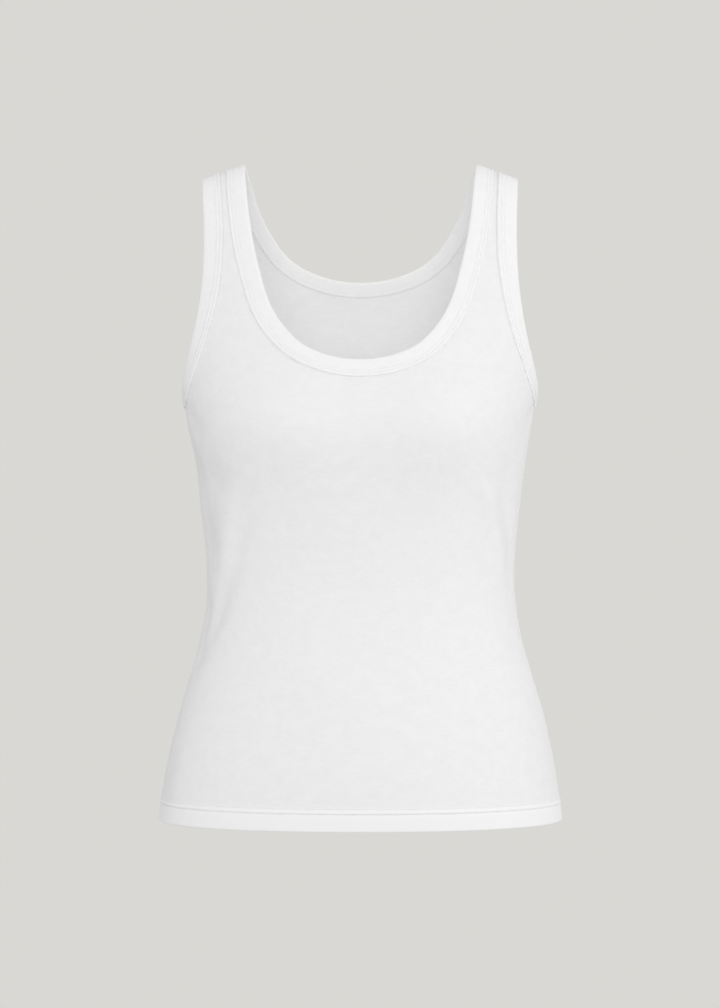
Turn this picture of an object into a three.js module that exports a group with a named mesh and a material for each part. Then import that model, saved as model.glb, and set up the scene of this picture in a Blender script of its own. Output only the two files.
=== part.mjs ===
// Scoop-neck tank top in fine cotton jersey, hollow, in the shape it has when worn.
// Millimetres. The front faces -Y, up is +Z, and z = 0 is the underside of the straps
// halfway along the shoulder seams.
import * as THREE from 'three';

// Cloth and seam sizes
const CLOTH_THICK = 1.1;
const BINDING_THICK = 1.0;
const BINDING_WIDTH = 16.5;
const CLEARANCE = 0.56;
const SEAM_GAP = 0.32;
const HEM_TURN_UP = 20;
const HEM_STEP = 0.9;
const RAW_EDGE_IN = BINDING_THICK + 0.7;

// Shoulders: the slope from the neck out to the arm, and where it fades out below
const SHOULDER_SLOPE = Math.tan(THREE.MathUtils.degToRad(20));
const STRAP_MIDDLE = 123.5;
const SLOPE_FADES_AT = 165;

// Level sections of the body, from the shoulder line down to the hem
const SECTIONS = [
  { level: 0, half: 178.0, front: 0, back: 0 },
  { level: -7, half: 177.5, front: 24, back: 24 },
  { level: -24, half: 176.5, front: 42, back: 42 },
  { level: -50, half: 174.5, front: 56, back: 60 },
  { level: -85, half: 171.5, front: 69, back: 78 },
  { level: -125, half: 167.0, front: 79, back: 92 },
  { level: -160, half: 162.5, front: 87, back: 98.5 },
  { level: -196, half: 158.0, front: 97.5, back: 99.5 },
  { level: -228, half: 153.4, front: 104.5, back: 96 },
  { level: -268, half: 147.4, front: 101, back: 88 },
  { level: -320, half: 140.5, front: 92.5, back: 78 },
  { level: -376, half: 137.4, front: 88.5, back: 74 },
  { level: -425, half: 145.2, front: 94, back: 84 },
  { level: -475, half: 160.0, front: 103, back: 100 },
  { level: -530, half: 173.2, front: 110, back: 114 },
  { level: -581, half: 181.2, front: 112.5, back: 119.5 },
];

// Roundness of each section: how wide the flat middle runs, and how square the side is
const MIDDLE_FULLNESS = 0.62;
const SIDE_FULLNESS = 0.6;

// Fullness of the bust, the same on both sides
const BUST = { out: 84, level: -226, height: 12, wide: 44, tall: 40 };

// Soft folds: a ridge (plus) or trough (minus) between two points of the cloth.
// turn: 0 centre front, 1 side seam, 2 centre back, minus on the left of the view.
// down: millimetres down the cloth from the shoulder line.
const FOLDS = [
  { turn: -0.5, down: 312, toTurn: -0.72, toDown: 402, high: 2.2, wide: 9 },
  { turn: -0.42, down: 352, toTurn: -0.74, toDown: 452, high: -2.0, wide: 12 },
  { turn: 0.5, down: 306, toTurn: 0.74, toDown: 408, high: 2.0, wide: 9 },
  { turn: 0.64, down: 322, toTurn: 0.86, toDown: 396, high: -1.4, wide: 9 },
  { turn: -0.86, down: 252, toTurn: -0.72, toDown: 276, high: -1.8, wide: 10 },
  { turn: 0.9, down: 250, toTurn: 0.72, toDown: 282, high: -1.2, wide: 11 },
  { turn: 1.22, down: 268, toTurn: 1.5, toDown: 352, high: 1.8, wide: 12 },
  { turn: -1.2, down: 274, toTurn: -1.46, toDown: 366, high: 2.1, wide: 13 },
  { turn: -1.62, down: 392, toTurn: 1.66, toDown: 398, high: -2.4, wide: 15 },
  { turn: -1.56, down: 430, toTurn: -1.9, toDown: 444, high: 1.6, wide: 12 },
];
const TURN_TO_MM = 200;

// Finished edges: out is the share of the way from the centre line to the side seam,
// down is measured along the cloth from the shoulder line.
const NECK_FRONT = [
  { out: 0, down: 208 },
  { out: 0.08, down: 205.5 },
  { out: 0.175, down: 194.5 },
  { out: 0.24, down: 177 },
  { out: 0.285, down: 157 },
  { out: 0.32, down: 128 },
  { out: 0.347, down: 94 },
  { out: 0.362, down: 56 },
  { out: 0.371, down: 0 },
];
const NECK_BACK = [
  { out: 0, down: 129 },
  { out: 0.085, down: 126.5 },
  { out: 0.176, down: 117.5 },
  { out: 0.237, down: 105.5 },
  { out: 0.283, down: 89 },
  { out: 0.319, down: 70 },
  { out: 0.345, down: 46 },
  { out: 0.371, down: 0 },
];
const ARM_FRONT = [
  { out: 0.567, down: 0 },
  { out: 0.565, down: 40 },
  { out: 0.568, down: 78 },
  { out: 0.588, down: 119 },
  { out: 0.623, down: 149 },
  { out: 0.677, down: 177 },
  { out: 0.748, down: 200 },
  { out: 0.838, down: 218.5 },
  { out: 0.92, down: 228.5 },
  { out: 1, down: 232 },
];
const ARM_BACK = [
  { out: 0.567, down: 0 },
  { out: 0.566, down: 40 },
  { out: 0.571, down: 78 },
  { out: 0.596, down: 120 },
  { out: 0.642, down: 150 },
  { out: 0.71, down: 177.5 },
  { out: 0.79, down: 199.5 },
  { out: 0.878, down: 218 },
  { out: 0.945, down: 228.5 },
  { out: 1, down: 232 },
];

// Where the edges stop running down and start running across, on each panel
const NECK_CORNER = { front: 168, back: 98 };
const ARM_CORNER = { front: 182, back: 186 };

// Mesh steps
const ACROSS_CENTRE = 6;
const ACROSS_STRAP = 8;
const ACROSS_SIDE = 7;
const ROWS_STRAP = 20;
const ROWS_BODY = 18;
const NECK_STEPS_FRONT = 26;
const NECK_STEPS_BACK = 19;
const ARM_STEPS = 29;

// A smooth curve through a table's points, with a set slope at its start
function smoothCurve(xs, ys, startSlope) {
  const last = xs.length - 1;
  const upper = [0.5];
  const bend = [];
  const right = [(3 / (xs[1] - xs[0])) * ((ys[1] - ys[0]) / (xs[1] - xs[0]) - startSlope)];
  for (let i = 1; i < last; i += 1) {
    const before = xs[i] - xs[i - 1];
    const after = xs[i + 1] - xs[i];
    const change = 6 * ((ys[i + 1] - ys[i]) / after - (ys[i] - ys[i - 1]) / before);
    const pivot = 2 * (before + after) - before * upper[i - 1];
    upper.push(after / pivot);
    right.push((change - before * right[i - 1]) / pivot);
  }
  bend[last] = 0;
  for (let i = last - 1; i >= 0; i -= 1) {
    bend[i] = right[i] - upper[i] * bend[i + 1];
  }
  return (x) => {
    let i = 0;
    while (i < last - 1 && x > xs[i + 1]) {
      i += 1;
    }
    const wide = xs[i + 1] - xs[i];
    const toEnd = xs[i + 1] - x;
    const fromStart = x - xs[i];
    const curved = (bend[i] * toEnd ** 3 + bend[i + 1] * fromStart ** 3) / (6 * wide);
    const startPart = (ys[i] / wide - (bend[i] * wide) / 6) * toEnd;
    const endPart = (ys[i + 1] / wide - (bend[i + 1] * wide) / 6) * fromStart;
    return curved + startPart + endPart;
  };
}

// Distance down the cloth at each section
const downs = [0];
for (let i = 1; i < SECTIONS.length; i += 1) {
  const above = SECTIONS[i - 1];
  const here = SECTIONS[i];
  const outward = (here.front + here.back - above.front - above.back) / 2;
  downs.push(downs[i - 1] + Math.hypot(here.level - above.level, outward));
}
const HEM_DOWN = downs[downs.length - 1];
const levelAt = smoothCurve(downs, SECTIONS.map((row) => row.level), 0);
const halfAt = smoothCurve(downs, SECTIONS.map((row) => row.half), 0);
const frontAt = smoothCurve(downs, SECTIONS.map((row) => row.front), 1);
const backAt = smoothCurve(downs, SECTIONS.map((row) => row.back), 1);

// One quarter of a section: from the middle (share 0) round to the side (share 1)
function quarterWidth(share) {
  const rest = 1 - share;
  return 3 * MIDDLE_FULLNESS * share * rest ** 2 + 3 * share ** 2 * rest + share ** 3;
}

function quarterDepth(share) {
  const rest = 1 - share;
  return rest ** 3 + 3 * share * rest ** 2 + 3 * SIDE_FULLNESS * share ** 2 * rest;
}

function slopeShare(down) {
  const share = Math.min(1, down / SLOPE_FADES_AT);
  return 1 - share ** 2 * (3 - 2 * share);
}

// Carries a point over the shoulder line or the centre back onto the cloth beyond it
function carriedOver(turn, down) {
  let around = turn;
  let along = down;
  if (along < 0) {
    along = -along;
    around = Math.sign(around) * (2 - Math.abs(around));
  }
  if (Math.abs(around) > 2) {
    around -= 4 * Math.sign(around);
  }
  return [around, along];
}

// The body form, without its folds
function form(turn, down) {
  const [around, along] = carriedOver(turn, down);
  const side = Math.sign(around);
  const inFront = Math.abs(around) <= 1;
  const share = inFront ? Math.abs(around) : 2 - Math.abs(around);
  const level = levelAt(along);
  const x = side * halfAt(along) * quarterWidth(share);
  const depth = quarterDepth(share);
  let y = backAt(along) * depth;
  if (inFront) {
    const up = (level - BUST.level) / BUST.tall;
    const toRight = (x - BUST.out) / BUST.wide;
    const toLeft = (x + BUST.out) / BUST.wide;
    const swell = Math.exp(-(toRight ** 2 + up ** 2) / 2) + Math.exp(-(toLeft ** 2 + up ** 2) / 2);
    y = -frontAt(along) * depth - BUST.height * swell * Math.min(1, depth * 1.6);
  }
  const slope = (SHOULDER_SLOPE * (x ** 2 - STRAP_MIDDLE ** 2)) / (2 * STRAP_MIDDLE);
  const z = level - slope * slopeShare(along) + CLOTH_THICK;
  return new THREE.Vector3(x, y, z);
}

// The two directions along the cloth at a point, and its outward normal
function directions(turn, down) {
  const step = 0.002;
  const along = form(turn, down + 0.3).sub(form(turn, down - 0.3)).divideScalar(0.6);
  const across = form(turn + step, down).sub(form(turn - step, down)).divideScalar(2 * step);
  const normal = new THREE.Vector3().crossVectors(along, across).normalize();
  return { along, across, normal };
}

// Height of the soft folds at a point
function foldHeight(turn, down) {
  const [around, beside] = carriedOver(turn, down);
  let total = 0;
  for (const fold of FOLDS) {
    const runTurn = (fold.toTurn - fold.turn) * TURN_TO_MM;
    const wrapped = Math.abs(runTurn) > 2 * TURN_TO_MM;
    const run = wrapped ? runTurn - 4 * TURN_TO_MM * Math.sign(runTurn) : runTurn;
    const runDown = fold.toDown - fold.down;
    let atTurn = (around - fold.turn) * TURN_TO_MM;
    if (Math.abs(atTurn) > 2 * TURN_TO_MM) {
      atTurn -= 4 * TURN_TO_MM * Math.sign(atTurn);
    }
    const atDown = beside - fold.down;
    const length = Math.hypot(run, runDown);
    const share = (atTurn * run + atDown * runDown) / length ** 2;
    const aside = (atTurn * runDown - atDown * run) / length;
    const pastEnd = Math.max(0, Math.abs(share - 0.5) - 0.25) * length;
    const fade = Math.exp(-((pastEnd / (0.22 * length)) ** 2));
    total += fold.high * fade * Math.exp(-((aside / fold.wide) ** 2) / 2);
  }
  return total;
}

// A point on the cloth, lifted off its outer face
function clothPoint(turn, down, lift) {
  const { normal } = directions(turn, down);
  return form(turn, down).addScaledVector(normal, foldHeight(turn, down) + lift);
}

// Moves a point along the cloth in a direction of space, in short steps
function movedAlong(turn, down, heading, distance) {
  const steps = Math.max(1, Math.ceil(distance / 3));
  let around = turn;
  let beside = down;
  for (let i = 0; i < steps; i += 1) {
    const { along, across, normal } = directions(around, beside);
    const way = heading.clone().addScaledVector(normal, -heading.dot(normal)).normalize();
    const aa = along.dot(along);
    const ab = along.dot(across);
    const bb = across.dot(across);
    const wa = way.dot(along);
    const wb = way.dot(across);
    const size = (distance / steps) / (aa * bb - ab * ab);
    [around, beside] = carriedOver(around + (wb * aa - wa * ab) * size, beside + (wa * bb - wb * ab) * size);
  }
  return [around, beside];
}

// A smooth edge through a table's rows, mirrored past each end so that it runs on there
function edgeLine(table, mirrorStart, mirrorEnd) {
  const points = table.map((row) => new THREE.Vector2(row.out * TURN_TO_MM, row.down));
  const first = mirrorStart(points[1].clone());
  const last = mirrorEnd(points[points.length - 2].clone());
  const ends = [first, ...points, last];
  const line = [];
  for (let i = 1; i < ends.length - 2; i += 1) {
    const [p0, p1, p2, p3] = [ends[i - 1], ends[i], ends[i + 1], ends[i + 2]];
    const t1 = Math.sqrt(p0.distanceTo(p1));
    const t2 = t1 + Math.sqrt(p1.distanceTo(p2));
    const t3 = t2 + Math.sqrt(p2.distanceTo(p3));
    for (let k = 0; k < 12; k += 1) {
      const t = t1 + ((t2 - t1) * k) / 12;
      const a1 = p0.clone().lerp(p1, t / t1);
      const a2 = p1.clone().lerp(p2, (t - t1) / (t2 - t1));
      const a3 = p2.clone().lerp(p3, (t - t2) / (t3 - t2));
      const b1 = a1.lerp(a2, t / t2);
      const b2 = a2.clone().lerp(a3, (t - t1) / (t3 - t1));
      line.push(b1.lerp(b2, (t - t1) / (t2 - t1)));
    }
  }
  line.push(points[points.length - 1]);
  return line.map((point) => [point.x / TURN_TO_MM, point.y]);
}

const overCentre = (point) => point.setX(-point.x);
const overShoulder = (point) => point.setY(-point.y);
const overSide = (point) => point.setX(2 * TURN_TO_MM - point.x);

// Picks points at set shares of a line's length along the cloth
function pickedAlong(line, shares) {
  const lengths = [0];
  for (let i = 1; i < line.length; i += 1) {
    const step = form(...line[i]).distanceTo(form(...line[i - 1]));
    lengths.push(lengths[i - 1] + step);
  }
  const whole = lengths[lengths.length - 1];
  return shares.map((share) => {
    let i = 1;
    while (i < line.length - 1 && lengths[i] < share * whole) {
      i += 1;
    }
    const part = (share * whole - lengths[i - 1]) / (lengths[i] - lengths[i - 1]);
    return [0, 1].map((axis) => line[i - 1][axis] + (line[i][axis] - line[i - 1][axis]) * part);
  });
}

function evenShares(count) {
  return Array.from({ length: count + 1 }, (_, i) => i / count);
}

// The four finished half edges, each on the right side of the view
const neckFront = edgeLine(NECK_FRONT, overCentre, overShoulder);
const neckBack = edgeLine(NECK_BACK, overCentre, overShoulder);
const armFront = edgeLine(ARM_FRONT, overShoulder, overSide);
const armBack = edgeLine(ARM_BACK, overShoulder, overSide);
const toBack = ([turn, down]) => [2 - turn, down];
const toLeft = ([turn, down]) => [-turn, down];

// Closed finished edges, each as points of the cloth in order
const frontHalf = pickedAlong(neckFront, evenShares(NECK_STEPS_FRONT));
const backHalf = pickedAlong(neckBack.map(toBack), evenShares(NECK_STEPS_BACK)).reverse();
const neckRight = [...frontHalf, ...backHalf.slice(1)];
const neckLeft = neckRight.slice(1, -1).map(toLeft).reverse();
const neckEdge = [...neckRight, ...neckLeft];
const armDownFront = pickedAlong(armFront, evenShares(ARM_STEPS));
const armUpBack = pickedAlong(armBack.map(toBack), evenShares(ARM_STEPS)).reverse();
const armEdgeRight = [...armDownFront, ...armUpBack.slice(1, -1)];
const armEdgeLeft = armEdgeRight.map(toLeft).reverse();

// Headings into the cloth, square to a closed edge
function headingsIn(edge) {
  const places = edge.map(([turn, down]) => form(turn, down));
  return edge.map(([turn, down], i) => {
    const next = places[(i + 1) % edge.length];
    const before = places[(i + edge.length - 1) % edge.length];
    const run = next.clone().sub(before).normalize();
    const { normal } = directions(turn, down);
    return new THREE.Vector3().crossVectors(run, normal);
  });
}

// A closed edge moved into the cloth
function edgeMovedIn(edge, distance) {
  const headings = headingsIn(edge);
  return edge.map(([turn, down], i) => movedAlong(turn, down, headings[i], distance));
}

const neckRaw = edgeMovedIn(neckEdge, RAW_EDGE_IN);
const armRaw = edgeMovedIn(armEdgeRight, RAW_EDGE_IN);

// Raw half edges for each panel, folded to the front or the back of the right side
const toFrontRow = ([turn, down]) => [turn > 1 ? 2 - turn : turn, Math.max(down, SEAM_GAP / 2)];
const neckRawFront = neckRaw.slice(0, NECK_STEPS_FRONT + 1).map(toFrontRow);
const neckRawBack = neckRaw.slice(NECK_STEPS_FRONT, neckRight.length).map(toFrontRow).reverse();
const armRawFront = armRaw.slice(0, ARM_STEPS + 1).map(toFrontRow);
const armRawBack = [...armRaw.slice(ARM_STEPS), armRaw[0]].map(toFrontRow).reverse();

// The half gap of the side seam, as a share of a panel's half width
function sideShare(down, depthAt) {
  return 1 - SEAM_GAP / 2 / (3 * SIDE_FULLNESS * depthAt(down));
}

// Splits a raw edge, given from the shoulder on, where it starts running across
function splitEdge(rawEdge, cornerDown) {
  const corner = rawEdge.findIndex(([, down]) => down > cornerDown);
  return { upright: rawEdge.slice(0, corner + 1), across: rawEdge.slice(corner) };
}

function mixed(from, to, share) {
  return [from[0] + (to[0] - from[0]) * share, from[1] + (to[1] - from[1]) * share];
}

// Points of half a panel, in two blocks: the strap and chest, and the body below
function halfPanel(neckRawHalf, armRawHalf, corners, depthAt) {
  const neck = splitEdge([...neckRawHalf].reverse(), corners.neck);
  const arm = splitEdge(armRawHalf, corners.arm);
  const rowShares = evenShares(ROWS_STRAP).map((share) => share ** 1.2);
  const inner = pickedAlong(neck.upright, rowShares);
  const outer = pickedAlong(arm.upright, rowShares);
  inner[0][1] = SEAM_GAP / 2;
  outer[0][1] = SEAM_GAP / 2;
  const strapShares = evenShares(ACROSS_STRAP).map((share) => share - 0.07 * Math.sin(2 * Math.PI * share));
  const top = strapShares.map((u) => mixed(inner[0], outer[0], u));
  const low = strapShares.map((u) => mixed(inner[ROWS_STRAP], outer[ROWS_STRAP], u));
  const strap = rowShares.map((v, j) => strapShares.map((u, i) => {
    const sides = mixed(inner[j], outer[j], u);
    const ends = mixed(top[i], low[i], v);
    const corner = mixed(mixed(top[0], top[ACROSS_STRAP], u), mixed(low[0], low[ACROSS_STRAP], u), v);
    return [sides[0] + ends[0] - corner[0], sides[1] + ends[1] - corner[1]];
  }));
  const centre = pickedAlong([...neck.across].reverse(), evenShares(ACROSS_CENTRE));
  const side = pickedAlong(arm.across, evenShares(ACROSS_SIDE));
  centre[0][0] = 0;
  const bodyTop = [...centre, ...strap[ROWS_STRAP].slice(1), ...side.slice(1)];
  const lastColumn = bodyTop.length - 1;
  const hemTop = HEM_DOWN - HEM_TURN_UP - HEM_STEP;
  const atRow = (i, turn, down) => [i === lastColumn ? sideShare(down, depthAt) : turn, down];
  const bodyShares = evenShares(ROWS_BODY).map((share) => share ** 1.2);
  const body = bodyShares.map((v) => bodyTop.map(([turn, down], i) => {
    const spread = v ** 0.8;
    return atRow(i, turn + (i / lastColumn - turn) * spread, down + (hemTop - down) * v);
  }));
  for (const down of [HEM_DOWN - HEM_TURN_UP, HEM_DOWN - HEM_TURN_UP / 2, HEM_DOWN]) {
    body.push(bodyTop.map((point, i) => atRow(i, i / lastColumn, down)));
  }
  return [strap, body];
}

// Inner face of a panel: the cloth is double where the hem is turned up
function innerLift(down) {
  return down > HEM_DOWN - HEM_TURN_UP - HEM_STEP / 2 ? -2 * CLOTH_THICK : -CLOTH_THICK;
}

// A closed piece of cloth from its blocks of points, mirrored to both sides
function panelGeometry(blocks, place, turnsBack) {
  const points = [];
  const known = new Map();
  const faces = [];
  const indexOf = (turn, down) => {
    const key = `${turn.toFixed(6)},${down.toFixed(4)}`;
    if (!known.has(key)) {
      known.set(key, points.length);
      points.push([turn, down]);
    }
    return known.get(key);
  };
  for (const side of [1, -1]) {
    for (const rows of blocks) {
      for (let j = 0; j < rows.length - 1; j += 1) {
        for (let i = 0; i < rows[j].length - 1; i += 1) {
          const ring = [rows[j][i], rows[j + 1][i], rows[j + 1][i + 1], rows[j][i + 1]];
          const [a, b, c, d] = ring.map(([turn, down]) => indexOf(side * turn, down));
          faces.push(...(side > 0 !== turnsBack ? [[a, b, c], [a, c, d]] : [[a, c, b], [a, d, c]]));
        }
      }
    }
  }
  const outer = points.map(([turn, down]) => place(turn, down, 0));
  const inner = points.map(([turn, down]) => place(turn, down, innerLift(down)));
  const count = points.length;
  const triangles = [];
  const used = new Map();
  for (const [a, b, c] of faces) {
    triangles.push([a, b, c], [a + count, c + count, b + count]);
    for (const [from, to] of [[a, b], [b, c], [c, a]]) {
      used.set(`${from},${to}`, [from, to]);
    }
  }
  for (const [from, to] of used.values()) {
    if (!used.has(`${to},${from}`)) {
      triangles.push([from, from + count, to + count], [from, to + count, to]);
    }
  }
  return geometryFrom([...outer, ...inner], triangles);
}

function geometryFrom(places, triangles) {
  const geometry = new THREE.BufferGeometry();
  geometry.setFromPoints(places);
  geometry.setIndex(triangles.flat());
  geometry.computeVertexNormals();
  return geometry;
}

// Section of a binding folded over the raw edge: in from the finished edge, and lift
const outerLegLift = CLEARANCE + BINDING_THICK;
const innerLegLift = -CLOTH_THICK - CLEARANCE - BINDING_THICK;
const BINDING_SECTION = [
  { inward: BINDING_WIDTH, lift: outerLegLift },
  { inward: BINDING_WIDTH / 2, lift: outerLegLift },
  { inward: 1.0, lift: outerLegLift },
  { inward: 0, lift: -CLOTH_THICK / 2 },
  { inward: 1.0, lift: innerLegLift },
  { inward: BINDING_WIDTH / 2, lift: innerLegLift },
  { inward: BINDING_WIDTH, lift: innerLegLift },
  { inward: BINDING_WIDTH, lift: -CLOTH_THICK - CLEARANCE },
  { inward: BINDING_WIDTH / 2, lift: -CLOTH_THICK - CLEARANCE },
  { inward: BINDING_THICK, lift: -CLOTH_THICK - CLEARANCE },
  { inward: BINDING_THICK, lift: CLEARANCE },
  { inward: BINDING_WIDTH / 2, lift: CLEARANCE },
  { inward: BINDING_WIDTH, lift: CLEARANCE },
];

// A closed ring of folded binding along an edge
function bindingGeometry(edge) {
  const headings = headingsIn(edge);
  const places = [];
  edge.forEach(([turn, down], i) => {
    for (const { inward, lift } of BINDING_SECTION) {
      const [around, beside] = inward > 0 ? movedAlong(turn, down, headings[i], inward) : [turn, down];
      places.push(clothPoint(around, beside, lift));
    }
  });
  const wide = BINDING_SECTION.length;
  const triangles = [];
  for (let i = 0; i < edge.length; i += 1) {
    const next = (i + 1) % edge.length;
    for (let k = 0; k < wide; k += 1) {
      const after = (k + 1) % wide;
      const [a, b] = [i * wide + k, next * wide + k];
      const [c, d] = [next * wide + after, i * wide + after];
      triangles.push([a, b, c], [a, c, d]);
    }
  }
  return geometryFrom(places, triangles);
}

// Pieces
const group = new THREE.Group();
group.name = 'tank_top';

function addPiece(name, geometry, color, roughness) {
  const material = new THREE.MeshStandardMaterial({ color, roughness, metalness: 0 });
  const piece = new THREE.Mesh(geometry, material);
  piece.name = name;
  group.add(piece);
}

const frontCorners = { neck: NECK_CORNER.front, arm: ARM_CORNER.front };
const backCorners = { neck: NECK_CORNER.back, arm: ARM_CORNER.back };
const frontBlocks = halfPanel(neckRawFront, armRawFront, frontCorners, frontAt);
const backBlocks = halfPanel(neckRawBack, armRawBack, backCorners, backAt);
const onFront = (turn, down, lift) => clothPoint(turn, down, lift);
const onBack = (turn, down, lift) => clothPoint(Math.sign(turn || 1) * 2 - turn, down, lift);

addPiece('front_panel', panelGeometry(frontBlocks, onFront, false), 0xf3f4f5, 0.9);
addPiece('back_panel', panelGeometry(backBlocks, onBack, true), 0xeff0f2, 0.9);
addPiece('neck_binding', bindingGeometry(neckEdge), 0xf6f7f8, 0.86);
addPiece('armhole_binding_left', bindingGeometry(armEdgeLeft), 0xf5f6f7, 0.86);
addPiece('armhole_binding_right', bindingGeometry(armEdgeRight), 0xf5f6f7, 0.86);

export default group;
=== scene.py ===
import math

import bpy
import numpy as np
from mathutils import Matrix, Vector


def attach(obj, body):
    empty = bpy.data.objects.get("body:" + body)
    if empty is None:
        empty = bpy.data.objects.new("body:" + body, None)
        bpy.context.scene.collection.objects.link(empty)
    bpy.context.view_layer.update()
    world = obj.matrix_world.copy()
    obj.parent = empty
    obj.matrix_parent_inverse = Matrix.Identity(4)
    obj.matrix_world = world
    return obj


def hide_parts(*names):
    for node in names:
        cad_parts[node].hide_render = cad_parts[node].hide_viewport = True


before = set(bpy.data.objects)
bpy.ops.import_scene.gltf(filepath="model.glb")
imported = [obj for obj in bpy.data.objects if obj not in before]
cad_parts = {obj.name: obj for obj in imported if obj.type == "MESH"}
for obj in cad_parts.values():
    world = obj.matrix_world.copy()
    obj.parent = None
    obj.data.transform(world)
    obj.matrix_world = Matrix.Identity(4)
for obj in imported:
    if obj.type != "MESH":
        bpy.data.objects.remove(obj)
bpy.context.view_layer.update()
mm = 0.001  # the shapes below are worked out in millimetres and scaled once, when a mesh is made
chance = np.random.default_rng(11)

# the worn shape, from the shoulder line down to the hem: level, half width, depth in front and behind
sections = [
    (0, 178.0, 0, 0),
    (-7, 177.5, 24, 24),
    (-24, 176.5, 42, 42),
    (-50, 174.5, 56, 60),
    (-85, 171.5, 69, 78),
    (-125, 167.0, 79, 92),
    (-160, 162.5, 87, 98.5),
    (-196, 158.0, 97.5, 99.5),
    (-228, 153.4, 104.5, 96),
    (-268, 147.4, 101, 88),
    (-320, 140.5, 92.5, 78),
    (-376, 137.4, 88.5, 74),
    (-425, 145.2, 94, 84),
    (-475, 160.0, 103, 100),
    (-530, 173.2, 110, 114),
    (-581, 181.2, 112.5, 119.5),
]

bodyShape = {
    "middleFullness": 0.62,   # how wide the flat middle of a section runs
    "sideFullness": 0.6,      # how square its side is
    "shoulderSlope": 20,      # degrees, from the neck out to the arm
    "strapMiddle": 123.5,
    "slopeFadesAt": 165,
    "bustOut": 84,
    "bustLevel": -226,
    "bustHeight": 14.5,
    "bustWide": 43,
    "bustTall": 38,
    "clothThick": 1.1,
    "turnToMm": 200,          # width of cloth from the centre line to the side seam
    "bustFades": 1.6,         # how soon the bust gives way toward the side
    "foldFull": 0.25,         # a fold keeps its height this far from its middle, as a share of its length
    "foldFade": 0.22,
    "nearDown": 0.3,          # steps over the cloth that its slopes are taken from
    "nearTurn": 0.002,
}
turnMm = bodyShape["turnToMm"]
clothThick = bodyShape["clothThick"]

# soft folds: turn and mm down where one starts, the same where it ends, its height and its width
# turn: 0 centre front, 1 side seam, 2 centre back, minus on the left of the view
# height: plus for a ridge and minus for a trough
folds = [
    (-0.47, 305, -0.68, 408, 3.3, 11),
    (-0.46, 334, -0.79, 468, -4.0, 9),
    (-0.9, 284, -0.88, 386, -3.3, 14),
    (0.49, 304, 0.73, 408, 3.3, 8.5),
    (0.64, 318, 0.86, 396, -2.1, 9),
    (-0.86, 252, -0.72, 276, -1.8, 10),
    (0.9, 250, 0.72, 282, -1.2, 11),
    (1.22, 268, 1.5, 352, 1.8, 12),
    (-1.2, 274, -1.46, 366, 2.1, 13),
    (-1.62, 392, 1.66, 398, -2.4, 15),
    (-1.56, 430, -1.9, 444, 1.6, 12),
]

# the worn shape isn't quite even: level, and mm that the side stands out there
sideEase = {
    "left": ((-600, 0), (-556, 1.3), (-500, 0), (-415, 1), (-345, 1), (-300, 1.8), (-258, 0.4),
             (-221, 1.8), (-190, 1.7), (-158, 2.3), (-125, 0.2), (-66, -0.8), (-35, 0), (0, 1.1)),
    "right": ((-600, 0), (-550, 0.5), (-470, 1.4), (-400, 1.3), (-350, 1.1), (-290, 0), (-220, 0.2),
              (-175, 1), (-140, 0), (-100, -1.5), (-60, -1.2), (-25, -1.4), (0, -0.8)),
}

# finished edges: turn as above, and mm down the cloth from the shoulder line
neckFrontEdge = [(0, 208), (0.08, 205.5), (0.175, 194.5), (0.24, 177), (0.285, 157),
                 (0.32, 128), (0.347, 94), (0.362, 56), (0.371, 0)]
neckBackEdge = [(0, 129), (0.085, 126.5), (0.176, 117.5), (0.237, 105.5), (0.283, 89),
                (0.319, 70), (0.345, 46), (0.371, 0)]
armFrontEdge = [(0.567, 0), (0.565, 40), (0.568, 78), (0.588, 119), (0.623, 149),
                (0.677, 177), (0.748, 200), (0.838, 218.5), (0.92, 228.5), (1, 232)]
armBackEdge = [(0.567, 0), (0.566, 40), (0.571, 78), (0.596, 120), (0.642, 150),
               (0.71, 177.5), (0.79, 199.5), (0.878, 218), (0.945, 228.5), (1, 232)]


def smoothCurve(xs, ys, startSlope):
    # cubic through the points, with a set slope at the start and none of a bend at the end
    xs, ys = np.array(xs, float), np.array(ys, float)
    gap = np.diff(xs)
    rise = np.diff(ys) / gap
    count = len(xs)
    left, right = np.zeros((count, count)), np.zeros(count)
    left[0, :2] = 2 * gap[0], gap[0]
    right[0] = 6 * (rise[0] - startSlope)
    for i in range(1, count - 1):
        left[i, i - 1:i + 2] = gap[i - 1], 2 * (gap[i - 1] + gap[i]), gap[i]
        right[i] = 6 * (rise[i] - rise[i - 1])
    left[-1, -1] = 1
    bend = np.linalg.solve(left, right)

    def at(x):
        x = np.asarray(x, float)
        i = np.clip(np.searchsorted(xs, x) - 1, 0, count - 2)
        toEnd, fromStart, wide = xs[i + 1] - x, x - xs[i], gap[i]
        curved = (bend[i] * toEnd ** 3 + bend[i + 1] * fromStart ** 3) / (6 * wide)
        startPart = (ys[i] / wide - bend[i] * wide / 6) * toEnd
        endPart = (ys[i + 1] / wide - bend[i + 1] * wide / 6) * fromStart
        return curved + startPart + endPart

    return at


levels, halfWidths, frontDepths, backDepths = zip(*sections)
meanDepth = (np.array(frontDepths) + np.array(backDepths)) / 2
sectionDown = np.concatenate([[0], np.cumsum(np.hypot(np.diff(levels), np.diff(meanDepth)))])
hemDown = float(sectionDown[-1])
levelAt, halfAt = (smoothCurve(sectionDown, values, 0) for values in (levels, halfWidths))
frontAt, backAt = (smoothCurve(sectionDown, values, 1) for values in (frontDepths, backDepths))
slopeTan = math.tan(math.radians(bodyShape["shoulderSlope"]))
leftEase, rightEase = (smoothCurve(*zip(*sideEase[side]), 0) for side in ("left", "right"))


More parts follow.
